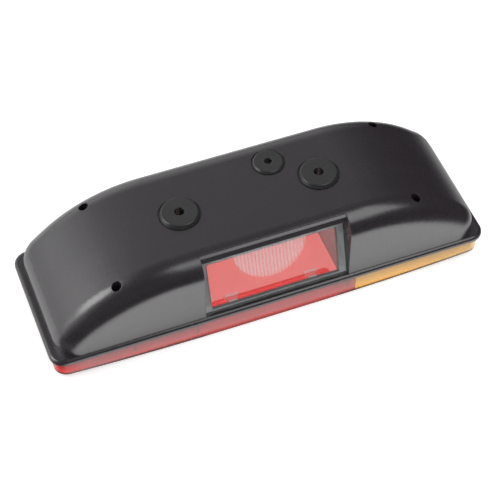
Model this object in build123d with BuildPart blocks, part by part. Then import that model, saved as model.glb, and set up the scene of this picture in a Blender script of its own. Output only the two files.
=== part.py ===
# Rear combination lamp for trucks and trailers, in millimetres, modelled as it lies on its lens.
# +X runs along the lamp to the indicator end, -Y is the number-plate side and +Z the vehicle side.
from build123d import *
from math import asin, atan2, cos, degrees, radians, sqrt, tan
import os

os.makedirs("parts", exist_ok=True)

# Flange of the housing and the lens below it
flange_length = 480.6
flange_width = 155.2
flange_thickness = 5.0
flange_radius = 16.0
flange_edge = 4.0
side_overhang = 3.0
end_overhang = 7.8
lens_depth = 28.7
lens_inset = 3.8
lens_radius = 13.3
lens_wall = 2.6
lens_edge = 1.9
lens_flat = 92.0
lens_face_radius = 2480.0
colour_split = 91.0
rim_depth = 1.5
gasket_thickness = 1.5
gasket_clearance = 0.2
groove_clearance = 0.4

# Housing shell with its curved ends
housing_height = 81.7
housing_wall = 2.6
wall_draft = 0.4
corner_radius = 25.5
edge_radius = 24.3
end_run = 134.0
end_wall_height = 16.3

# Lens screws and the tunnels they go down
screw_end_inset = 70.8
screw_side_inset = 19.5
tunnel_bore = 10.0
tunnel_wall = 2.2
tunnel_floor = 3.0
tunnel_reach = 3.4
lens_boss = 9.0
screw_shank = 4.0
screw_head = 8.0
screw_head_height = 3.0
screw_grip = 13.0
screw_clearance = 0.3
thread_clearance = 0.05

# Rubber mounting pads and the cable grommet
fixing_spacing = 152.0
fixing_bore = 10.5
pad_face = 37.6
pad_base = 42.0
pad_height = 3.9
grommet_x = 33.0
grommet_side_inset = 41.2
grommet_bore = 8.0
grommet_face = 30.4
grommet_base = 33.6
grommet_height = 2.4
seat_depth = 1.2
seat_gap = 1.0
seat_wall = 3.0
bush_neck = 5.0
bush_lip = 3.5
bush_lip_thickness = 3.0
bush_clearance = 0.15
bush_edge = 1.1

# Number-plate window
window_x = 3.0
window_length = 158.0
window_tilt = 16.0
lip_height = 10.0
lip_inset = 14.0
lip_lean = 1.6
lip_drop = 4.4
lip_rebate = 2.8
lip_rebate_drop = 2.4
opening_border = 9.0
opening_sill = 3.0
opening_head = 16.2
opening_radius = 2.0
pane_thickness = 3.0
pane_inset = 1.5
pane_clearance = 0.3
seal_thickness = 1.0
seal_margin = 1.0
optic_radius = 40.0
optic_inset = 8.1
flute_pitch = 1.9
flute_depth = 0.6
clip_spacing = 88.0
clip_width = 14.0
clip_height = 7.5
clip_thickness = 2.5
clip_hook = 2.5
clip_clearance = 0.2

# Bulb carrier with its partitions and screws
carrier_drop = 52.0
carrier_thickness = 2.5
carrier_end_gap = 37.5
carrier_gap = 3.0
carrier_radius = 20.0
window_light_gap = 26.0
fog_length = 80.5
window_partition_gap = 8.0
colour_partition_gap = 7.0
partition_thickness = 2.0
partition_gap = 1.4
access_bore = 20.0
boss_window_gap = 31.0
boss_side_inset = 32.6
boss_diameter = 9.0
carrier_screw_shank = 3.5
carrier_screw_head = 7.0
carrier_screw_head_height = 2.4
carrier_screw_grip = 10.0

# Lamps: sockets, bulbs and what feeds them
fog_end_inset = 54.5
indicator_end_inset = 82.5
lamp_y = 18.0
socket_bore = 15.4
socket_wall = 0.8
socket_depth = 19.0
socket_mouth = 2.0
socket_collar = 2.0
socket_clearance = 0.15
insulator_thickness = 2.4
contact_rivet = 4.0
contact_head = 7.0
contact_head_height = 0.8
contact_tab = 6.0
cap_clearance = 0.15
bulb_diameter = 25.0
bulb_length = 34.0
bulb_neck = 13.0
bulb_shoulder = 45.0
glass_wall = 0.8
strip_width = 6.0
strip_thickness = 0.8
strip_eyelet = 23.0
terminal_length = 50.0
terminal_width = 14.0
terminal_height = 11.0
terminal_ways = 6
terminal_gap = 3.0
terminal_screw = 4.0
terminal_screw_height = 2.0
wire_bore = 3.4

# Inserts in the red lens
reversing_border = 6.0
reversing_width = 96.0
reflector_length = 146.0
reflector_width = 24.0
reflector_side_inset = 23.8
insert_radius = 5.0
insert_rebate = 2.0
insert_thickness = 1.4

# Levels and lengths that follow from the sizes above
flange_bottom = lens_depth
flange_top = flange_bottom + flange_thickness
back = flange_top + housing_height
wall_length = flange_length - 2 * end_overhang
wall_width = flange_width - 2 * side_overhang
half_flat = wall_length / 2 - end_run
end_drop = housing_height - end_wall_height
end_radius = (end_run**2 + end_drop**2) / (2 * end_drop)
end_sweep = degrees(atan2(end_run, end_radius - end_drop)) + 6
lens_length = flange_length - 2 * lens_inset
lens_width = flange_width - 2 * lens_inset
reflector_y = reflector_side_inset - lens_width / 2
lens_face_sweep = degrees(asin((lens_length - lens_flat) / 2 / lens_face_radius)) + 1
rim_top = flange_bottom + rim_depth
groove_top = rim_top + gasket_thickness
tunnel_bottom = flange_bottom - tunnel_reach
tunnel_outside = tunnel_bore + 2 * tunnel_wall
screw_x = wall_length / 2 - screw_end_inset
screw_y = wall_width / 2 - screw_side_inset
screw_places = [(x, y) for x in (-screw_x, screw_x) for y in (-screw_y, screw_y)]
seat = back - seat_depth
seat_under = seat - seat_wall
fixing_places = [(-fixing_spacing / 2, 0), (fixing_spacing / 2, 0)]
grommet_y = wall_width / 2 - grommet_side_inset
boss_spacing_x = window_length + 2 * boss_window_gap
boss_spacing_y = wall_width - 2 * boss_side_inset
carrier_length = wall_length - 2 * carrier_end_gap
carrier_bottom = back - carrier_drop
carrier_top = carrier_bottom + carrier_thickness
carrier_half_width = wall_width / 2 - housing_wall - carrier_gap
fog_partition = -wall_length / 2 + fog_length
reversing_partition = window_x - window_length / 2 - window_partition_gap
indicator_partition = colour_split - colour_partition_gap
reversing_length = reversing_partition - fog_partition - 2 * reversing_border
lamp_x = {
    "fog": -wall_length / 2 + fog_end_inset,
    "reversing": (fog_partition + reversing_partition) / 2,
    "stop_tail": 0.0,
    "indicator": wall_length / 2 - indicator_end_inset,
}
lamp_places = [(x, lamp_y) for x in lamp_x.values()]

# The pane's plane: origin on the sill of the recess floor, local Y up the floor, local Z outwards
tilt = radians(window_tilt)
sill = flange_top
ceiling = back - lip_height
pane_stack = seal_thickness + pane_thickness
floor_y = -wall_width / 2 + pane_inset + pane_stack / cos(tilt)
floor_top_y = floor_y + tan(tilt) * (ceiling - sill)
floor_height = (ceiling - sill) / cos(tilt)
pane_height = floor_height - 2 * pane_clearance - pane_stack * tan(tilt)
opening_length = window_length - 2 * opening_border
opening_top = floor_height - opening_head
floor_plane = Plane(origin=(window_x, floor_y, sill), x_dir=(1, 0, 0), z_dir=Vector(0, -1, tan(tilt)))


def frame_inside(z):
    """Y of the window frame's inner face at height z."""
    return floor_y + housing_wall / cos(tilt) + tan(tilt) * (z - sill)


def lamp_form(inset, skirt):
    """The housing's outside form moved in by inset, run straight down by skirt below the flange's top."""
    with BuildPart() as form:
        with BuildSketch(Plane.XY.offset(flange_top)) as plan:
            RectangleRounded(wall_length - 2 * inset, wall_width - 2 * inset, corner_radius - inset)
        extrude(amount=housing_height + 1, taper=wall_draft)
        with BuildSketch(Plane.XZ):
            with BuildLine():
                crown = Line((-half_flat, back - inset), (half_flat, back - inset))
                right_end = JernArc(crown @ 1, (1, 0), end_radius - inset, -end_sweep)
                left_end = JernArc(crown @ 0, (-1, 0), end_radius - inset, end_sweep)
                right_foot = (right_end @ 1).X, flange_top - 1
                left_foot = (left_end @ 1).X, flange_top - 1
                Polyline(right_end @ 1, right_foot, left_foot, left_end @ 1)
            make_face()
        extrude(amount=wall_width, both=True, mode=Mode.INTERSECT)
        upper = form.edges().filter_by(lambda e: e.bounding_box().min.Z > flange_top + 1)
        rim = upper.filter_by(lambda e: e.bounding_box().size.X > 1 or e.center().Z < back - inset - 1)
        fillet(rim, edge_radius - inset)
        extrude(plan.sketch, amount=-skirt)
    return form.part


def recess_profile(grow):
    """Section of the number-plate recess in the YZ plane, grown by a wall."""
    with BuildSketch(Plane.YZ) as profile:
        with BuildLine():
            lip_y = -wall_width / 2 + lip_inset
            rebate_y = lip_y + lip_rebate
            above = back + lip_height
            Polyline(
                (floor_y, sill),
                (floor_top_y, ceiling),
                (lip_y - lip_lean, ceiling),
                (lip_y, back - lip_drop),
                (rebate_y, back - lip_rebate_drop),
                (rebate_y, above),
                (-wall_width, above),
                (-wall_width, sill),
                close=True,
            )
        make_face()
        if grow:
            offset(amount=grow, kind=Kind.INTERSECTION)
    return profile.sketch


def recess_form(grow):
    """The number-plate recess as a block across the lamp, grown by a wall."""
    with BuildPart() as block:
        extrude(recess_profile(grow), amount=window_length / 2 + grow, both=True)
    return block.part.moved(Location((window_x, 0, 0)))


# Housing: black moulded shell that carries everything else
envelope = lamp_form(0, flange_thickness + tunnel_reach)

with BuildPart() as window_frame:
    add(recess_form(housing_wall))
    add(envelope, mode=Mode.INTERSECT)

with BuildPart() as tunnels:
    with BuildSketch(Plane.XY.offset(tunnel_bottom)):
        with Locations(*screw_places):
            Circle(tunnel_outside / 2)
    extrude(amount=back)
    add(envelope, mode=Mode.INTERSECT)

with BuildPart() as bosses:
    with BuildSketch(Plane.XY.offset(carrier_top)):
        with GridLocations(boss_spacing_x, boss_spacing_y, 2, 2):
            Circle(boss_diameter / 2)
    extrude(amount=back)
    add(envelope, mode=Mode.INTERSECT)

with BuildPart() as housing:
    with BuildSketch(Plane.XY.offset(flange_bottom)):
        RectangleRounded(flange_length, flange_width, flange_radius)
    extrude(amount=flange_thickness)
    fillet(housing.faces().sort_by(Axis.Z)[-1].edges(), flange_edge)
    add(lamp_form(0, flange_thickness))
    add(lamp_form(housing_wall, flange_thickness + 1), mode=Mode.SUBTRACT)
    # Thick rings under the pads and the grommet
    with BuildSketch(Plane.XY.offset(seat_under)):
        with Locations(*fixing_places):
            Circle(pad_base / 2 + seat_gap + housing_wall)
        with Locations((grommet_x, grommet_y)):
            Circle(grommet_base / 2 + seat_gap + housing_wall)
    extrude(amount=seat_wall)
    add(window_frame.part)
    add(tunnels.part)
    add(bosses.part)
    # Number-plate recess and the opening in its floor
    add(recess_form(0), mode=Mode.SUBTRACT)
    with BuildSketch(floor_plane):
        with Locations((0, (opening_sill + opening_top) / 2)):
            RectangleRounded(opening_length, opening_top - opening_sill, opening_radius)
    extrude(amount=housing_wall + 1, both=True, mode=Mode.SUBTRACT)
    # Tunnels for the lens screws
    with BuildSketch(Plane.XY.offset(tunnel_bottom + tunnel_floor)):
        with Locations(*screw_places):
            Circle(tunnel_bore / 2)
    extrude(amount=back, mode=Mode.SUBTRACT)
    with BuildSketch(Plane.XY.offset(tunnel_bottom)):
        with Locations(*screw_places):
            Circle(screw_shank / 2 + screw_clearance)
    extrude(amount=tunnel_floor, mode=Mode.SUBTRACT)
    # Seats and holes for the pads and the grommet
    with BuildSketch(Plane.XY.offset(seat)):
        with Locations(*fixing_places):
            Circle(pad_base / 2 + seat_gap)
        with Locations((grommet_x, grommet_y)):
            Circle(grommet_base / 2 + seat_gap)
    extrude(amount=seat_depth, mode=Mode.SUBTRACT)
    with BuildSketch(Plane.XY.offset(seat_under)):
        with Locations(*fixing_places):
            Circle(fixing_bore / 2 + bush_neck + bush_clearance)
        with Locations((grommet_x, grommet_y)):
            Circle(grommet_bore / 2 + bush_neck + bush_clearance)
    extrude(amount=seat_wall, mode=Mode.SUBTRACT)
    # Pilot holes of the carrier screws
    with BuildSketch(Plane.XY.offset(carrier_top)):
        with GridLocations(boss_spacing_x, boss_spacing_y, 2, 2):
            Circle(carrier_screw_shank / 2 + thread_clearance)
    extrude(amount=carrier_screw_grip + 1, mode=Mode.SUBTRACT)
    # Groove for the lens rim and its gasket
    with BuildSketch(Plane.XY.offset(flange_bottom)):
        groove = lens_wall + groove_clearance
        RectangleRounded(
            lens_length + 2 * groove_clearance,
            lens_width + 2 * groove_clearance,
            lens_radius + groove_clearance,
        )
        RectangleRounded(
            lens_length - 2 * groove, lens_width - 2 * groove, lens_radius - groove, mode=Mode.SUBTRACT
        )
    extrude(amount=groove_top - flange_bottom, mode=Mode.SUBTRACT)
housing.part.label = "housing"
export_step(housing.part, "parts/housing.step")

# Lens gasket: rubber ring at the top of the groove
with BuildPart() as lens_gasket:
    with BuildSketch(Plane.XY.offset(rim_top)):
        inner = lens_wall + gasket_clearance
        RectangleRounded(
            lens_length + 2 * gasket_clearance,
            lens_width + 2 * gasket_clearance,
            lens_radius + gasket_clearance,
        )
        RectangleRounded(
            lens_length - 2 * inner, lens_width - 2 * inner, lens_radius - inner, mode=Mode.SUBTRACT
        )
    extrude(amount=gasket_thickness)
lens_gasket.part.label = "lens_gasket"
export_step(lens_gasket.part, "parts/lens_gasket.step")


def face_rise(x):
    """Height of the lens's face above its flat middle at x along the lamp."""
    beyond = max(abs(x) - lens_flat / 2, 0)
    return lens_face_radius - sqrt(lens_face_radius**2 - beyond**2)


def lens_form(inset):
    """The lens's outside form moved in by inset: a flat middle with ends that curve back."""
    with BuildPart() as form:
        with BuildSketch():
            RectangleRounded(lens_length - 2 * inset, lens_width - 2 * inset, lens_radius - inset)
        extrude(amount=rim_top + inset)
        with BuildSketch(Plane.XZ):
            with BuildLine():
                face = Line((-lens_flat / 2, inset), (lens_flat / 2, inset))
                right_bend = JernArc(face @ 1, (1, 0), lens_face_radius - inset, lens_face_sweep)
                left_bend = JernArc(face @ 0, (-1, 0), lens_face_radius - inset, -lens_face_sweep)
                right_head = (right_bend @ 1).X, rim_top + inset
                left_head = (left_bend @ 1).X, rim_top + inset
                Polyline(right_bend @ 1, right_head, left_head, left_bend @ 1)
            make_face()
        extrude(amount=lens_width, both=True, mode=Mode.INTERSECT)
    return form.part


lens_outside = lens_form(0)
lens_inside = lens_form(lens_wall)
insert_inside = lens_form(lens_wall + insert_thickness)

with BuildPart() as lens_bosses:
    with BuildSketch():
        with Locations(*screw_places):
            Circle(lens_boss / 2)
    extrude(amount=tunnel_bottom)
    add(lens_outside, mode=Mode.INTERSECT)


def lens_shell():
    """The whole lens as one tray with its four screw bosses."""
    with BuildPart() as shell:
        add(lens_outside)
        low = shell.edges().filter_by(lambda e: e.bounding_box().max.Z < rim_top - 1)
        rim = low.filter_by(lambda e: e.bounding_box().size.X > 1 or abs(e.center().X) > lens_flat / 2 + 1)
        fillet(rim, lens_edge)
        add(lens_inside, mode=Mode.SUBTRACT)
        add(lens_bosses.part)
        with BuildSketch(Plane.XY.offset(tunnel_bottom)):
            with Locations(*screw_places):
                Circle(screw_shank / 2 + thread_clearance)
        extrude(amount=-screw_grip - 1, mode=Mode.SUBTRACT)
    return shell.part


def lens_plate(x, y, length, width, outer, inner):
    """A plate that follows the lens's face, between an outer and an inner form."""
    with BuildPart() as plate:
        with BuildSketch():
            with Locations((x, y)):
                RectangleRounded(length, width, insert_radius)
        extrude(amount=flange_bottom)
        add(outer, mode=Mode.INTERSECT)
        add(inner, mode=Mode.SUBTRACT)
    return plate.part


def lens_insert(x, y, length, width):
    """A lens insert: a plug flush with the lens face and a rim on the lens's inner face."""
    grow = 2 * insert_rebate
    with BuildPart() as insert:
        add(lens_plate(x, y, length, width, lens_outside, lens_inside))
        add(lens_plate(x, y, length + grow, width + grow, lens_inside, insert_inside))
    return insert.part


# Lens: amber end, and red part with its clear insert and its reflector
with BuildPart() as lens_amber:
    add(lens_shell())
    split(bisect_by=Plane.YZ.offset(colour_split), keep=Keep.TOP)
lens_amber.part.label = "lens_amber"
export_step(lens_amber.part, "parts/lens_amber.step")

with BuildPart() as lens_reversing:
    add(lens_insert(lamp_x["reversing"], 0, reversing_length, reversing_width))
lens_reversing.part.label = "lens_reversing"
export_step(lens_reversing.part, "parts/lens_reversing.step")

with BuildPart() as reflex_reflector:
    add(lens_insert(lamp_x["stop_tail"], reflector_y, reflector_length, reflector_width))
reflex_reflector.part.label = "reflex_reflector"
export_step(reflex_reflector.part, "parts/reflex_reflector.step")

with BuildPart() as lens_red:
    add(lens_shell())
    split(bisect_by=Plane.YZ.offset(colour_split), keep=Keep.BOTTOM)
    add(lens_reversing.part, mode=Mode.SUBTRACT)
    add(reflex_reflector.part, mode=Mode.SUBTRACT)
lens_red.part.label = "lens_red"
export_step(lens_red.part, "parts/lens_red.step")

# Lens screws: heads on the tunnel floors, shanks in the lens bosses
with BuildPart() as lens_screws:
    with BuildSketch(Plane.XY.offset(tunnel_bottom + tunnel_floor)):
        with Locations(*screw_places):
            Circle(screw_head / 2)
    extrude(amount=screw_head_height)
    with BuildSketch(Plane.XY.offset(tunnel_bottom + tunnel_floor)):
        with Locations(*screw_places):
            Circle(screw_shank / 2)
    extrude(amount=-tunnel_floor - screw_grip)
    with BuildSketch(Plane.XY.offset(tunnel_bottom + tunnel_floor + screw_head_height)):
        with Locations(*screw_places):
            Rectangle(screw_head, screw_shank / 4)
    extrude(amount=-screw_head_height / 2, mode=Mode.SUBTRACT)
lens_screws.part.label = "lens_screws"
export_step(lens_screws.part, "parts/lens_screws.step")

# Number-plate window: seal, then the pane with its fluted half disc and two snap clips
with BuildPart() as window_seal:
    with BuildSketch(floor_plane):
        with Locations((0, pane_clearance + pane_height / 2)):
            Rectangle(window_length - 2 * pane_clearance - seal_margin, pane_height - seal_margin)
        with Locations((0, (opening_sill + opening_top) / 2)):
            Rectangle(
                opening_length + 2 * seal_margin,
                opening_top - opening_sill + 2 * seal_margin,
                mode=Mode.SUBTRACT,
            )
    extrude(amount=seal_thickness)
window_seal.part.label = "window_seal"
export_step(window_seal.part, "parts/window_seal.step")

pane_back = floor_plane.offset(seal_thickness)
flute_count = int(2 * optic_radius / flute_pitch)
flute_start = -window_x - flute_count * flute_pitch / 2
flute_section = Plane(origin=pane_back.origin, x_dir=(1, 0, 0), z_dir=pane_back.y_dir)

with BuildPart() as flutes:
    with BuildSketch(flute_section):
        with BuildLine():
            points = [(flute_start, 0)]
            for i in range(flute_count):
                points.append((flute_start + (i + 0.5) * flute_pitch, flute_depth))
                points.append((flute_start + (i + 1) * flute_pitch, 0))
            Polyline(*points)
            Polyline(points[-1], (points[-1][0], -0.1), (flute_start, -0.1), points[0])
        make_face()
    extrude(amount=opening_top)
    with BuildSketch(pane_back):
        with Locations((-window_x, floor_height - optic_inset)):
            Circle(optic_radius)
    extrude(amount=-flute_depth, both=True, mode=Mode.INTERSECT)

with BuildPart() as number_plate_window:
    with BuildSketch(pane_back):
        with Locations((0, pane_clearance + pane_height / 2)):
            Rectangle(window_length - 2 * pane_clearance, pane_height)
    extrude(amount=pane_thickness)
    add(flutes.part)
    clip_places = [-window_x - clip_spacing / 2, -window_x + clip_spacing / 2]
    clip_foot = opening_sill + clip_clearance
    hook_top = seal_thickness + housing_wall + clip_clearance
    with BuildSketch(pane_back):
        with Locations(*[(x, clip_foot + clip_height / 2) for x in clip_places]):
            Rectangle(clip_width, clip_height)
            Rectangle(clip_width - 2 * clip_thickness, clip_height - 2 * clip_thickness, mode=Mode.SUBTRACT)
    extrude(amount=-hook_top - clip_hook)
    with BuildSketch(pane_back.offset(-hook_top)):
        with Locations(*[(x, clip_foot) for x in clip_places]):
            Rectangle(clip_width, 2 * clip_hook)
    extrude(amount=-clip_hook)
number_plate_window.part.label = "number_plate_window"
export_step(number_plate_window.part, "parts/number_plate_window.step")

# Rubber bushes: two mounting pads and the cable grommet, each clipped through the back
bushes = {
    "mounting_pad_left": (*fixing_places[0], fixing_bore, pad_face, pad_base, pad_height),
    "mounting_pad_right": (*fixing_places[1], fixing_bore, pad_face, pad_base, pad_height),
    "cable_grommet": (grommet_x, grommet_y, grommet_bore, grommet_face, grommet_base, grommet_height),
}
for name, (x, y, bore, face, base, height) in bushes.items():
    bush_plane = Plane(origin=(x, y, 0), x_dir=(1, 0, 0), z_dir=(0, -1, 0))
    neck = bore / 2 + bush_neck
    lip_bottom = seat_under - bush_lip_thickness
    with BuildPart() as bush:
        with BuildSketch(bush_plane):
            with BuildLine():
                Polyline(
                    (bore / 2, back + height),
                    (face / 2, back + height),
                    (base / 2, back),
                    (base / 2, seat),
                    (neck, seat),
                    (neck, seat_under),
                    (neck + bush_lip, seat_under),
                    (neck, lip_bottom),
                    (bore / 2, lip_bottom),
                    close=True,
                )
            make_face()
        revolve(axis=Axis((x, y, 0), (0, 0, 1)))
        face_rim = bush.edges().filter_by(GeomType.CIRCLE).group_by(Axis.Z)[-1].sort_by(SortBy.RADIUS)[-1]
        fillet(face_rim, bush_edge)
    bush.part.label = name
    export_step(bush.part, f"parts/{name}.step")

# Bulb carrier: grey plate under the back with partitions that reach down to the lens
with BuildPart() as bulb_carrier:
    with BuildSketch(Plane.XY.offset(carrier_bottom)):
        RectangleRounded(carrier_length, 2 * carrier_half_width, carrier_radius)
        with Locations(*lamp_places):
            Circle(socket_bore / 2 + socket_wall + socket_clearance, mode=Mode.SUBTRACT)
        with Locations(*fixing_places):
            Circle(access_bore / 2, mode=Mode.SUBTRACT)
        with GridLocations(boss_spacing_x, boss_spacing_y, 2, 2):
            Circle(carrier_screw_shank / 2 + screw_clearance, mode=Mode.SUBTRACT)
        with Locations((window_x, frame_inside(carrier_top) + window_light_gap)):
            Rectangle(
                window_length + 2 * (housing_wall + carrier_gap),
                wall_width,
                align=(Align.CENTER, Align.MAX),
                mode=Mode.SUBTRACT,
            )
    extrude(amount=carrier_thickness)
    near_top = frame_inside(carrier_top) + carrier_gap
    bend = carrier_top - (near_top + carrier_half_width) / tan(tilt)
    for x, near in (
        (fog_partition, -carrier_half_width),
        (reversing_partition, near_top),
        (indicator_partition, near_top),
    ):
        foot = face_rise(x) + lens_wall + insert_thickness + partition_gap
        with BuildSketch(Plane.YZ.offset(x - partition_thickness / 2)):
            with BuildLine():
                Polyline(
                    (carrier_half_width, foot),
                    (carrier_half_width, carrier_top),
                    (near, carrier_top),
                    (-carrier_half_width, max(bend, foot + 1)),
                    (-carrier_half_width, foot),
                    close=True,
                )
            make_face()
        extrude(amount=partition_thickness)
    with BuildSketch(Plane.XY):
        with Locations(*screw_places):
            Circle(tunnel_outside / 2 + screw_clearance)
    extrude(amount=carrier_top, mode=Mode.SUBTRACT)
bulb_carrier.part.label = "bulb_carrier"
export_step(bulb_carrier.part, "parts/bulb_carrier.step")

# Carrier screws: from the lens side through the carrier into the housing's bosses
with BuildPart() as carrier_screws:
    with BuildSketch(Plane.XY.offset(carrier_bottom)):
        with GridLocations(boss_spacing_x, boss_spacing_y, 2, 2):
            Circle(carrier_screw_head / 2)
    extrude(amount=-carrier_screw_head_height)
    with BuildSketch(Plane.XY.offset(carrier_bottom)):
        with GridLocations(boss_spacing_x, boss_spacing_y, 2, 2):
            Circle(carrier_screw_shank / 2)
    extrude(amount=carrier_thickness + carrier_screw_grip)
carrier_screws.part.label = "carrier_screws"
export_step(carrier_screws.part, "parts/carrier_screws.step")

# Lamps: each has a socket pressed in the carrier, an insulator, a contact and a bulb of cap and glass
socket_bottom = carrier_bottom - socket_mouth
socket_top = socket_bottom + socket_depth
insulator_top = socket_top - socket_wall
cap_top = insulator_top - insulator_thickness - contact_head_height
cap_radius = socket_bore / 2 - cap_clearance
glass_tip = socket_bottom - bulb_length
for name, x in lamp_x.items():
    lamp_axis = Axis((x, lamp_y, 0), (0, 0, 1))
    lamp_plane = Plane(origin=(x, lamp_y, 0), x_dir=(1, 0, 0), z_dir=(0, -1, 0))

    with BuildPart() as socket:
        with BuildSketch(Plane.XY.offset(socket_bottom)):
            with Locations((x, lamp_y)):
                Circle(socket_bore / 2 + socket_wall)
        extrude(amount=socket_depth)
        with BuildSketch(Plane.XY.offset(carrier_bottom)):
            with Locations((x, lamp_y)):
                Circle(socket_bore / 2 + socket_wall + socket_collar)
        extrude(amount=-socket_wall)
        with BuildSketch(Plane.XY.offset(socket_bottom)):
            with Locations((x, lamp_y)):
                Circle(socket_bore / 2)
        extrude(amount=socket_depth - socket_wall, mode=Mode.SUBTRACT)
        with BuildSketch(Plane.XY.offset(insulator_top)):
            with Locations((x, lamp_y)):
                Circle(contact_head / 2 + socket_collar)
        extrude(amount=socket_wall, mode=Mode.SUBTRACT)
    socket.part.label = f"socket_{name}"
    export_step(socket.part, f"parts/socket_{name}.step")

    with BuildPart() as insulator:
        with BuildSketch(Plane.XY.offset(insulator_top - insulator_thickness)):
            with Locations((x, lamp_y)):
                Circle(socket_bore / 2 - socket_clearance)
                Circle(contact_rivet / 2 + thread_clearance, mode=Mode.SUBTRACT)
        extrude(amount=insulator_thickness)
    insulator.part.label = f"socket_insulator_{name}"
    export_step(insulator.part, f"parts/socket_insulator_{name}.step")

    with BuildPart() as contact:
        with BuildSketch(lamp_plane):
            with BuildLine():
                rivet_top = insulator_top + contact_tab
                Polyline(
                    (0, cap_top),
                    (contact_head / 2, cap_top),
                    (contact_head / 2, cap_top + contact_head_height),
                    (contact_rivet / 2, cap_top + contact_head_height),
                    (contact_rivet / 2, rivet_top),
                    (0, rivet_top),
                    close=True,
                )
            make_face()
        revolve(axis=lamp_axis)
    contact.part.label = f"centre_contact_{name}"
    export_step(contact.part, f"parts/centre_contact_{name}.step")

    with BuildPart() as cap:
        with BuildSketch(Plane.XY.offset(socket_bottom)):
            with Locations((x, lamp_y)):
                Circle(cap_radius)
        extrude(amount=cap_top - socket_bottom)
        chamfer(cap.faces().sort_by(Axis.Z)[-1].edges(), 2 * socket_wall)
    cap.part.label = f"bulb_cap_{name}"
    export_step(cap.part, f"parts/bulb_cap_{name}.step")

    with BuildPart() as glass:
        with BuildSketch(lamp_plane):
            with BuildLine():
                ball = bulb_diameter / 2
                ball_centre = glass_tip + ball
                neck_start = (bulb_neck / 2, socket_bottom)
                dome = CenterArc((0, ball_centre), ball, -90, 90 + bulb_shoulder)
                turn = cos(radians(bulb_shoulder))
                shoulder_radius = (ball * turn - bulb_neck / 2) / (1 - turn)
                shoulder = JernArc(dome @ 1, dome % 1, shoulder_radius, -bulb_shoulder)
                Polyline(shoulder @ 1, neck_start, (0, socket_bottom), dome @ 0)
            make_face()
        revolve(axis=lamp_axis)
        offset(amount=-glass_wall, openings=glass.faces().sort_by(Axis.Z)[-1])
    glass.part.label = f"bulb_glass_{name}"
    export_step(glass.part, f"parts/bulb_glass_{name}.step")

# Earth strip: brass, lies on the carrier and joins the sockets
with BuildPart() as earth_strip:
    strip_start = min(lamp_x.values())
    strip_length = max(lamp_x.values()) - strip_start
    with BuildSketch(Plane.XY.offset(carrier_top)):
        with Locations((strip_start + strip_length / 2, lamp_y + strip_eyelet / 2)):
            Rectangle(strip_length, strip_width, align=(Align.CENTER, Align.MAX))
        with Locations(*lamp_places):
            Circle(strip_eyelet / 2)
        with Locations(*lamp_places):
            Circle(socket_bore / 2 + socket_wall + socket_clearance, mode=Mode.SUBTRACT)
    extrude(amount=strip_thickness)
earth_strip.part.label = "earth_strip"
export_step(earth_strip.part, "parts/earth_strip.step")

# Terminal block: stands on the carrier beside the cable grommet, with a screw for each wire
terminal_pitch = terminal_length / terminal_ways
terminal_y = grommet_y + grommet_bore / 2 + terminal_gap + terminal_width / 2
terminal_top = carrier_top + terminal_height
with BuildPart() as terminal_block:
    with BuildSketch(Plane.XY.offset(carrier_top)):
        with Locations((grommet_x, terminal_y)):
            Rectangle(terminal_length, terminal_width)
    extrude(amount=terminal_height)
    with BuildSketch(Plane.XZ.offset(-terminal_y)):
        with Locations((grommet_x, carrier_top + terminal_height / 3)):
            with GridLocations(terminal_pitch, 1, terminal_ways, 1):
                Circle(wire_bore / 2)
    extrude(amount=terminal_width, both=True, mode=Mode.SUBTRACT)
    with BuildSketch(Plane.XY.offset(terminal_top)):
        with Locations((grommet_x, terminal_y)):
            with GridLocations(terminal_pitch, 1, terminal_ways, 1):
                Circle(terminal_screw / 2 + screw_clearance)
    extrude(amount=-terminal_screw_height, mode=Mode.SUBTRACT)
terminal_block.part.label = "terminal_block"
export_step(terminal_block.part, "parts/terminal_block.step")

with BuildPart() as terminal_screws:
    with BuildSketch(Plane.XY.offset(terminal_top - terminal_screw_height)):
        with Locations((grommet_x, terminal_y)):
            with GridLocations(terminal_pitch, 1, terminal_ways, 1):
                Circle(terminal_screw / 2)
    extrude(amount=terminal_screw_height)
terminal_screws.part.label = "terminal_screws"
export_step(terminal_screws.part, "parts/terminal_screws.step")
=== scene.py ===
import bpy
from math import pi, sqrt, tau
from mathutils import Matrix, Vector

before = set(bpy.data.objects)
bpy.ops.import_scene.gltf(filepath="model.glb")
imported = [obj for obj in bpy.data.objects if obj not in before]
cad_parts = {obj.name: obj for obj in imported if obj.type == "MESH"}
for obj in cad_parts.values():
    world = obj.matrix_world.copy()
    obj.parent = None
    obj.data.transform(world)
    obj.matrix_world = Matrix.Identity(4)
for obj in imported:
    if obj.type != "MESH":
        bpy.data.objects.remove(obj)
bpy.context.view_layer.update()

bpy.context.scene.view_settings.view_transform = "Standard"

# Housing: the shell that carries the whole lamp, with its flange, its number-plate recess and the
# four screw tunnels. It is moulded in one shot from black ABS, satin from the tool, and its
# edges are broken by a fraction of a millimetre where the two tool halves meet.


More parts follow.
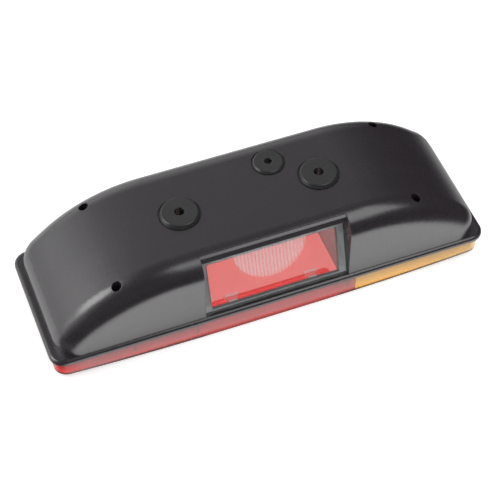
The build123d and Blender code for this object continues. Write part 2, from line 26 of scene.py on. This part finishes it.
class Wire:
    """A shader socket that works in sums, so that 1 - mask adds a Math node."""

    def __init__(self, tree, socket):
        self.tree = tree
        self.socket = socket

    def node(self, kind, settings, sockets, out=0):
        """Add a node, set it up, fill or link its sockets, and hand back one of its outputs."""
        made = self.tree.nodes.new(kind)
        for name, value in settings.items():
            setattr(made, name, value)
        for name, value in sockets.items():
            if isinstance(value, Wire):
                self.tree.links.new(value.socket, made.inputs[name])
            else:
                made.inputs[name].default_value = value
        return Wire(self.tree, made.outputs[out])

    def math(self, operation, other=0.0):
        return self.node("ShaderNodeMath", {"operation": operation}, {0: self, 1: other})

    def __add__(self, other):
        return self.math("ADD", other)

    def __sub__(self, other):
        return self.math("SUBTRACT", other)

    def __rsub__(self, other):
        return self.node("ShaderNodeMath", {"operation": "SUBTRACT"}, {0: other, 1: self})

    def __mul__(self, other):
        return self.math("MULTIPLY", other)

    def __abs__(self):
        return self.math("ABSOLUTE")

    __radd__ = __add__
    __rmul__ = __mul__

    def axis(self, letter):
        """One coordinate of a place: X, Y or Z."""
        return self.node("ShaderNodeSeparateXYZ", {}, {0: self}, letter)

    def noise(self, size, detail=2.0):
        """Soft noise with features about size metres across, from 0 to 1."""
        sockets = {"Vector": self, "Scale": 1 / size, "Detail": detail}
        return self.node("ShaderNodeTexNoise", {}, sockets)

    def wave(self, pitch):
        """From 0 to 1 and back, once in every pitch metres."""
        return (self * (tau / pitch)).math("SINE") * 0.5 + 0.5

    def ramp(self, start, end, low, high):
        """A soft step from low at start to high at end."""
        sockets = {0: self, 1: start, 2: end, 3: low, 4: high}
        return self.node("ShaderNodeMapRange", {"interpolation_type": "SMOOTHSTEP"}, sockets)

    def band(self, start, end, soft):
        """1 between start and end and 0 outside, with each edge blurred by soft to either side."""
        rising = self.ramp(start - soft, start + soft, 0.0, 1.0)
        return rising * self.ramp(end - soft, end + soft, 1.0, 0.0)

    def blend(self, low, high):
        """A colour between two, as this value goes from 0 to 1."""
        first = low if isinstance(low, Wire) else (*low, 1)
        sockets = {"Factor": self, 6: first, 7: (*high, 1)}
        return self.node("ShaderNodeMix", {"data_type": "RGBA"}, sockets, 2)

    def raised(self, depth, strength, normal=None):
        """The surface normal with this value as its relief, depth metres high."""
        sockets = {"Height": self, "Distance": depth, "Strength": strength}
        if normal:
            sockets["Normal"] = normal
        return self.node("ShaderNodeBump", {}, sockets)


def finish(name, **fixed):
    """A new material with the shader's fixed values set, its shader and the place on the piece."""
    material = bpy.data.materials.new(name)
    material.use_nodes = True
    tree = material.node_tree
    shader = tree.nodes["Principled BSDF"]
    for socket, value in fixed.items():
        shader.inputs[socket.replace("_", " ")].default_value = value
    place = Wire(tree, tree.nodes.new("ShaderNodeTexCoord").outputs["Object"])
    return material, shader, place


def feed(shader, **sockets):
    """Link what changes over the surface to the shader."""
    for name, wire in sockets.items():
        wire.tree.links.new(wire.socket, shader.inputs[name.replace("_", " ")])


def worn_edge(place, radius):
    """The surface normal with its sharp edges rounded."""
    return place.node("ShaderNodeBevel", {"samples": 6}, {"Radius": radius})


def dress(material, *names):
    """Put a finish on CAD nodes."""
    for name in names:
        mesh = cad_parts[name].data
        mesh.materials.clear()
        mesh.materials.append(material)


housing_plastic, shader, place = finish("housing_plastic", IOR=1.7, Specular_IOR_Level=1.0)
grain = place.noise(size=0.0006)
cloud = place.noise(size=0.045, detail=3.0)
feed(
    shader,
    Base_Color=cloud.blend((0.019, 0.0150, 0.0190), (0.026, 0.0208, 0.0262)),
    Roughness=0.22 + cloud * 0.06 + grain * 0.04,
    Normal=grain.raised(depth=0.00002, strength=0.35, normal=worn_edge(place, radius=0.0007)),
)
dress(housing_plastic, "housing")

# Mounting pads and cable grommet: rubber bushes pressed through the back of the housing.
# They are moulded from black rubber with a light bloom of dust, and their lips hold them in place.
pad_rubber, shader, place = finish("pad_rubber", IOR=1.6, Specular_IOR_Level=1.0)
speck = place.noise(size=0.0012, detail=4.0)
dust = place.noise(size=0.02, detail=4.0)
feed(
    shader,
    Base_Color=(dust * 0.6 + speck * 0.4).blend((0.018, 0.018, 0.019), (0.030, 0.030, 0.031)),
    Roughness=0.19 + dust * 0.10 + speck * 0.04,
    Normal=speck.raised(depth=0.00003, strength=0.3, normal=worn_edge(place, radius=0.0009)),
)
dress(pad_rubber, "mounting_pad_left", "mounting_pad_right", "cable_grommet")

# Bulb carrier: a plate with three partitions, screwed under the back of the housing.
# It is moulded in light grey plastic, and it throws the bulbs' light back through the lens.
grey_plastic, shader, place = finish("grey_plastic", Specular_IOR_Level=0.5)
flow = place.noise(size=0.03, detail=3.0)
grain = place.noise(size=0.0008)
feed(
    shader,
    Base_Color=flow.blend((0.80, 0.81, 0.80), (0.88, 0.89, 0.88)),
    Roughness=0.38 + flow * 0.1,
    Normal=grain.raised(depth=0.00003, strength=0.4),
)
dress(grey_plastic, "bulb_carrier")

# Screws: four under the carrier, four down the tunnels and six in the terminal block.
# They are pressed from steel wire and zinc-plated, with the fine mottle of the plating.
zinc, shader, place = finish("steel", Metallic=1.0)
mottle = place.noise(size=0.0009, detail=3.0)
feed(
    shader,
    Base_Color=mottle.blend((0.50, 0.50, 0.49), (0.66, 0.66, 0.67)),
    Roughness=0.26 + mottle * 0.2,
    Normal=mottle.raised(depth=0.00002, strength=0.3),
)
dress(zinc, "carrier_screws", "lens_screws", "terminal_screws")

# Sockets: drawn cups pressed into the carrier, one for each lamp.
# They are thin steel sheet with a bright nickel plate, and the drawing leaves faint rings.
lamps = ("fog", "reversing", "stop_tail", "indicator")


def each(piece, owners=lamps):
    """The names of a piece that every lamp has."""
    return [f"{piece}_{lamp}" for lamp in owners]


plated, shader, place = finish("plated_steel", Metallic=1.0)
ring = place.axis("Z").wave(pitch=0.0024166)
haze = place.noise(size=0.004, detail=3.0)
feed(
    shader,
    Base_Color=haze.blend((0.58, 0.57, 0.53), (0.70, 0.69, 0.66)),
    Roughness=0.20 + haze * 0.14 + ring * 0.05,
    Normal=ring.raised(depth=0.00001, strength=0.3),
)
dress(plated, *each("socket"))

# Insulators: discs of brown laminate at the bottom of each socket, punched from sheet.
# The layers of paper show as thin bands along the cut edge.
laminate, shader, place = finish("insulator", Specular_IOR_Level=0.4)
layer = place.axis("Z").wave(pitch=0.00069813)
fibre = place.noise(size=0.0015, detail=4.0)
feed(
    shader,
    Base_Color=(layer * 0.5 + fibre * 0.5).blend((0.19, 0.10, 0.055), (0.31, 0.175, 0.10)),
    Roughness=0.5 + fibre * 0.2,
)
dress(laminate, *each("socket_insulator"))

# Brass pieces: the centre contacts, the bulbs' caps and the earth strip that joins the sockets.
# They are pressed from sheet brass, bright on the whole and browner where hands and heat got to it.
brass, shader, place = finish("brass", Metallic=1.0)
stain = place.noise(size=0.006, detail=4.0)
scratch = place.noise(size=0.0007)
feed(
    shader,
    Base_Color=stain.blend((0.60, 0.42, 0.18), (0.80, 0.63, 0.32)),
    Roughness=0.42 - stain * 0.2 + scratch * 0.08,
    Normal=scratch.raised(depth=0.00001, strength=0.3),
)
dress(brass, "earth_strip", *each("centre_contact"), *each("bulb_cap"))

# Bulb glasses: blown bulbs cemented in the brass caps, clear for three lamps and amber for the
# indicator. The glass is thin, and its surface waves a little where it was blown.
for name, tint, owners in (
    ("bulb_glass", (0.96, 0.97, 0.96, 1), ("fog", "reversing", "stop_tail")),
    ("amber_bulb", (0.98, 0.52, 0.09, 1), ("indicator",)),
):
    glass, shader, place = finish(name, Base_Color=tint, IOR=1.5, Transmission_Weight=1.0)
    ripple = place.noise(size=0.008)
    feed(shader, Roughness=ripple * 0.05, Normal=ripple.raised(depth=0.0002, strength=0.2))
    dress(glass, *each("bulb_glass", owners))

# Terminal block: a strip of six ways that stands on the carrier beside the grommet.
# It is moulded in black plastic with a matt, slightly mottled face.
block_plastic, shader, place = finish("terminal_plastic", Specular_IOR_Level=0.5)
mottle = place.noise(size=0.003, detail=3.0)
feed(
    shader,
    Base_Color=mottle.blend((0.030, 0.030, 0.031), (0.048, 0.048, 0.049)),
    Roughness=0.45 + mottle * 0.15,
    Normal=mottle.raised(depth=0.00004, strength=0.3),
)
dress(block_plastic, "terminal_block")

# Window seal: a strip of grey foam between the number-plate window and the housing.
# It is cut from sheet, and the cut cells show as fine pits.
foam, shader, place = finish("grey_foam", Specular_IOR_Level=0.3)
cell_size = 1 / 1400
cells = place.node("ShaderNodeTexVoronoi", {}, {"Vector": place, "Scale": 1 / cell_size})
tone = place.noise(size=0.006, detail=3.0)
feed(
    shader,
    Base_Color=tone.blend((0.32, 0.32, 0.325), (0.41, 0.41, 0.415)),
    Roughness=0.7 + tone * 0.15,
    Normal=cells.raised(depth=0.0001, strength=0.5),
)
dress(foam, "window_seal")

# Number-plate window: a clear acrylic pane that leans back in the recess, held by two snap clips.
# It is moulded clear; a half disc of flutes on its back spreads the light over the number plate,
# and a pale line is painted along the top and the foot of each clip as a painted highlight.
acrylic_ior = 1.49


def clear_through(material, shader, place, share, tint):
    """Show the shader on a share of the surface, and let light straight through the rest."""
    tree = material.node_tree
    through = place.node("ShaderNodeBsdfTransparent", {}, {"Color": (*tint, 1)})
    body = Wire(tree, shader.outputs[0])
    mixed = place.node("ShaderNodeMixShader", {}, {0: share, 1: through, 2: body})
    tree.links.new(mixed.socket, tree.nodes["Material Output"].inputs["Surface"])


def mirrored(place, limit):
    """The share of light that acrylic mirrors, up to a limit."""
    return place.node("ShaderNodeFresnel", {}, {"IOR": acrylic_ior}).math("MINIMUM", limit)


clear_pane, shader, place = finish(
    "clear_pane", IOR=acrylic_ior, Base_Color=(0.9, 0.92, 0.92, 1), Specular_IOR_Level=0.6
)
haze = place.noise(size=0.03, detail=3.0)
feed(shader, Roughness=0.02 + haze * 0.04)

across, depth, height = place.axis("X"), place.axis("Y"), place.axis("Z")
lean = 0.2867  # metres back for each metre up
lean_length = sqrt(1 + lean ** 2)
pane_foot_y, pane_foot_z = -0.07, 0.0337
behind = depth - pane_foot_y - (height - pane_foot_z) * lean
rise = (depth * lean + height) * (1 / lean_length)

disc_middle, disc_radius, disc_edge = 0.0976, 0.0398, 0.0004
disc_height = (height - disc_middle) * lean_length
reach = (across * across + disc_height * disc_height).math("SQRT")
disc = reach.ramp(disc_radius - disc_edge, disc_radius + disc_edge, 1.0, 0.0)
flute = across.wave(pitch=0.0038)

clip_edge = 0.0002
clip_start, clip_top = 0.0011, 0.0238
clip = behind.ramp(clip_start - clip_edge, clip_start + clip_edge, 0.0, 1.0)
# The pale lines along the top and the foot of each clip are painted highlights, where the pane's
# white body shows instead of clear acrylic.
top_highlight_start, top_highlight_full = 0.0040, 0.0046
painted_top_highlight = rise.ramp(clip_top - clip_edge, clip_top + clip_edge, 0.0, 1.0)
painted_top_highlight = painted_top_highlight * behind.ramp(top_highlight_start, top_highlight_full, 0.0, 1.0)
foot_low, foot_high, foot_front, foot_back = 0.01885, 0.01935, 0.0003, 0.0024
painted_foot_highlight = rise.band(foot_low, foot_high, soft=0.00015)
painted_foot_highlight = painted_foot_highlight * behind.band(foot_front, foot_back, soft=0.00015)

shine = mirrored(place, 0.04 + clip * 0.10) + clip * 0.01
shine = shine + (painted_top_highlight + painted_foot_highlight) * 0.5 + disc * (1 - clip) * (0.11 + flute * 0.14)
clear_through(clear_pane, shader, place, share=shine, tint=(0.97, 0.975, 0.975))
dress(clear_pane, "number_plate_window")

# Lens gasket: a rubber ring in the groove of the flange, pressed by the rim of the lens.
# It is extruded black rubber, dull and slightly uneven.
black_rubber, shader, place = finish("black_rubber", Specular_IOR_Level=0.4)
speck = place.noise(size=0.0015, detail=4.0)
feed(
    shader,
    Base_Color=speck.blend((0.014, 0.014, 0.015), (0.026, 0.026, 0.027)),
    Roughness=0.55 + speck * 0.2,
    Normal=speck.raised(depth=0.00005, strength=0.4),
)
dress(black_rubber, "lens_gasket")

# Lens: a tray of clear red acrylic with an amber end welded to it, held by the four long screws.
# The face is smooth outside with upright flutes inside it, and the walls of the opening for the
# reflector are melted into it, so they don't show. Up the sides the colour is painted darker
# towards the rim as painted shade under the flange, and the left end is painted a brighter red as
# painted light.


def on_face(place):
    """1 on the lens face and 0 up its sides."""
    face_height, side_height = 0.005, 0.009
    return place.axis("Z").ramp(face_height, side_height, 1.0, 0.0)


def face_flutes(place, pitch):
    """Rounded flutes across the lens face, from 0 to 1."""
    return abs((place.axis("X") * (pi / pitch)).math("SINE")) * on_face(place)


rim_foot, rim_top = 0.004, 0.030
# The left end of the lens sides is painted a brighter red near the floor: painted light coming
# through the lens.
painted_backlight_red, left_end_start, left_end_stop = (0.84, 0.10, 0.10), -0.232, -0.190
dull_coat_start, dull_coat_stop = -0.236, -0.200
opening_half_length, opening_front, opening_back = 0.0734, -0.0624, -0.0376
for name, deep, light, node, pitch in (
    ("red_lens", (0.09, 0.02, 0.025), (0.70, 0.155, 0.146), "lens_red", 0.004),
    ("amber_lens", (0.26, 0.17, 0.04), (0.92, 0.61, 0.12), "lens_amber", 0.005),
):
    acrylic, shader, place = finish(
        name, IOR=acrylic_ior, Transmission_Weight=0.95, Coat_IOR=2.0, Coat_Roughness=0.15
    )
    along = place.axis("X")
    side = 1 - on_face(place)
    # The sides are painted darker towards the rim and lighter near the floor: a painted shade under
    # the flange.
    low = place.axis("Z").ramp(rim_foot, rim_top, 1.0, 0.0)
    flute = face_flutes(place, pitch)
    flow = place.noise(size=0.04, detail=3.0)
    tint = (flow * 0.12 + low * 0.8 + flute * 0.08).blend(deep, light)
    painted_backlight_end = along.ramp(left_end_start, left_end_stop, 1.0, 0.0) * side * low
    feed(
        shader,
        Base_Color=painted_backlight_end.blend(tint, painted_backlight_red),
        Roughness=0.10 + flow * 0.06,
        Coat_Weight=side * along.ramp(dull_coat_start, dull_coat_stop, 0.1, 1.0),
        Normal=flute.raised(depth=0.0003, strength=0.4),
    )
    weld = along.band(-opening_half_length, opening_half_length, soft=0.0002)
    weld = weld * place.axis("Y").band(opening_front, opening_back, soft=0.0002)
    clear_through(acrylic, shader, place, share=1 - weld, tint=(1, 1, 1))
    dress(acrylic, node)

# Reversing lens: a clear acrylic plate welded into the red lens in front of the reversing lamp.
# It is moulded with the same flutes as the red lens around it.
clear_lens, shader, place = finish(
    "clear_lens", IOR=acrylic_ior, Transmission_Weight=0.8, Specular_IOR_Level=0.6
)
flute = face_flutes(place, pitch=0.004)
flow = place.noise(size=0.04, detail=3.0)
feed(
    shader,
    Base_Color=(flow * 0.5 + flute * 0.5).blend((0.84, 0.85, 0.85), (0.94, 0.95, 0.95)),
    Roughness=0.1 + flow * 0.06,
    Normal=flute.raised(depth=0.0003, strength=0.4),
)
dress(clear_lens, "lens_reversing")

# Reflex reflector: a red acrylic plate with hollow corner prisms behind its smooth face.
# The prisms are moulded in a honeycomb and throw light back where it came from.
reflector, shader, place = finish("red_reflector", IOR=acrylic_ior)
prism = 0.0032
row_gap = sqrt(3)
along = place.axis("X") * (1 / prism)
across = place.axis("Y") * (1 / (prism * row_gap))
reaches = []
for shift in (0.0, 0.5):
    dx = (along + shift).math("FRACT") - 0.5
    dy = ((across + shift).math("FRACT") - 0.5) * row_gap
    reaches.append((dx * dx + dy * dy).math("SQRT"))
nearest = reaches[0].math("MINIMUM", reaches[1])
facet = (nearest * 1.75).math("MINIMUM", 1.0)
feed(
    shader,
    Base_Color=facet.blend((0.80, 0.03, 0.02), (0.50, 0.010, 0.01)),
    Roughness=0.08 + facet * 0.1,
    Normal=facet.raised(depth=0.0004, strength=0.4),
)
shine = mirrored(place, limit=0.04) + facet * 0.05
clear_through(reflector, shader, place, share=shine, tint=(0.98, 0.05, 0.04))
dress(reflector, "reflex_reflector")

# Studio: a white card on a table, one soft panel on the left and one high over the right front.
# The card is white to the camera and keeps the lamp's shadow. In reflections it ends a little
# way in front of the lamp, it is painted darker close to the lamp and by the lamp's left front
# corner as painted shadow, and the room is darker overhead, to the right and to the front.
bpy.ops.object.select_all(action="DESELECT")
bpy.ops.mesh.primitive_plane_add(size=12, location=(0, 0, -0.0004))
floor = bpy.context.object
floor.name = "floor"
white_card, shader, place = finish(
    "white_card", Roughness=0.9, Specular_IOR_Level=0.0, Emission_Strength=1.0
)
path = place.tree.nodes.new("ShaderNodeLightPath")
camera_ray = Wire(place.tree, path.outputs["Is Camera Ray"])
glossy_ray = Wire(place.tree, path.outputs["Is Glossy Ray"])
through_ray = Wire(place.tree, path.outputs["Is Transmission Ray"])
side, forward = place.axis("X"), place.axis("Y")
# In reflections the card is painted darker close to the lamp and by the lamp's left front corner: a
# painted shadow and a painted shade.
front_edge, painted_shadow_edge, right_edge = (-0.24, -0.18), (-0.110, -0.098), (0.30, 0.40)
corner_right, corner_back = (-0.250, -0.225), (-0.078, -0.048)
card = forward.ramp(*front_edge, 0.0, 1.0) * forward.ramp(*painted_shadow_edge, 1.0, 0.7)
painted_corner_shade = side.ramp(*corner_right, 1.0, 0.0) * forward.ramp(*corner_back, 1.0, 0.0)
card = card * side.ramp(*right_edge, 1.0, 0.0) * (1 - painted_corner_shade * 0.9)
kept = 1 - glossy_ray * (1 - card)
lift = camera_ray * 0.5 + glossy_ray * card * 0.5 + through_ray
feed(
    shader,
    Base_Color=kept.blend((0.02, 0.02, 0.02), (0.84, 0.84, 0.84)),
    Emission_Color=lift.node("ShaderNodeCombineXYZ", {}, {0: lift, 1: lift, 2: lift}),
)
floor.data.materials.append(white_card)

world = bpy.data.worlds.new("studio")
bpy.context.scene.world = world
world.use_nodes = True
tree = world.node_tree
path = tree.nodes.new("ShaderNodeLightPath")
camera_ray = Wire(tree, path.outputs["Is Camera Ray"])
glossy_ray = Wire(tree, path.outputs["Is Glossy Ray"])
sky = Wire(tree, tree.nodes.new("ShaderNodeTexCoord").outputs["Generated"])
side, forward, up = sky.axis("X"), sky.axis("Y"), sky.axis("Z")
walls_to_ceiling = up.ramp(0.1, 1.1, 0.95, 0.03)
floor_to_walls = up.ramp(0.0, 0.25, 0.45, 1.0)
left_to_right = side.ramp(0.0, 0.72, 1.0, 0.04)
front_to_back = forward.ramp(-0.6, 0.2, 0.06, 1.0)
room = walls_to_ceiling * floor_to_walls * left_to_right * front_to_back
plain_light = 0.85
level = camera_ray + (1 - camera_ray) * (glossy_ray * room + (1 - glossy_ray) * plain_light)
background = tree.nodes["Background"]
background.inputs["Color"].default_value = (1, 1, 1, 1)
tree.links.new(level.socket, background.inputs["Strength"])

for name, stand, size, power in (
    ("left_panel", (-0.91, 0.19, 0.77), 0.54, 2.4),
    ("right_panel", (0.43, -0.50, 1.00), 0.80, 2.6),
):
    bpy.ops.object.light_add(type="AREA", location=stand)
    panel = bpy.context.object
    panel.name = name
    panel.data.shape = "SQUARE"
    panel.data.size = size
    panel.data.energy = power
    panel.visible_camera = False
    panel.rotation_euler = (-Vector(stand)).to_track_quat("-Z", "Y").to_euler()

# Camera: a long lens on a stand before the number-plate side, a little to the left.
# It looks down on the back of the lamp, without shift and with everything in focus.
stand = Vector((-0.3921, -1.0253, 1.3769))
aim = Vector((0.00622, 0.01582, 0.0033))
bpy.ops.object.camera_add(location=stand)
camera = bpy.context.object
camera.rotation_euler = (aim - stand).to_track_quat("-Z", "Y").to_euler()
camera.data.lens = 117.92
camera.data.sensor_width = 36
bpy.context.scene.camera = camera
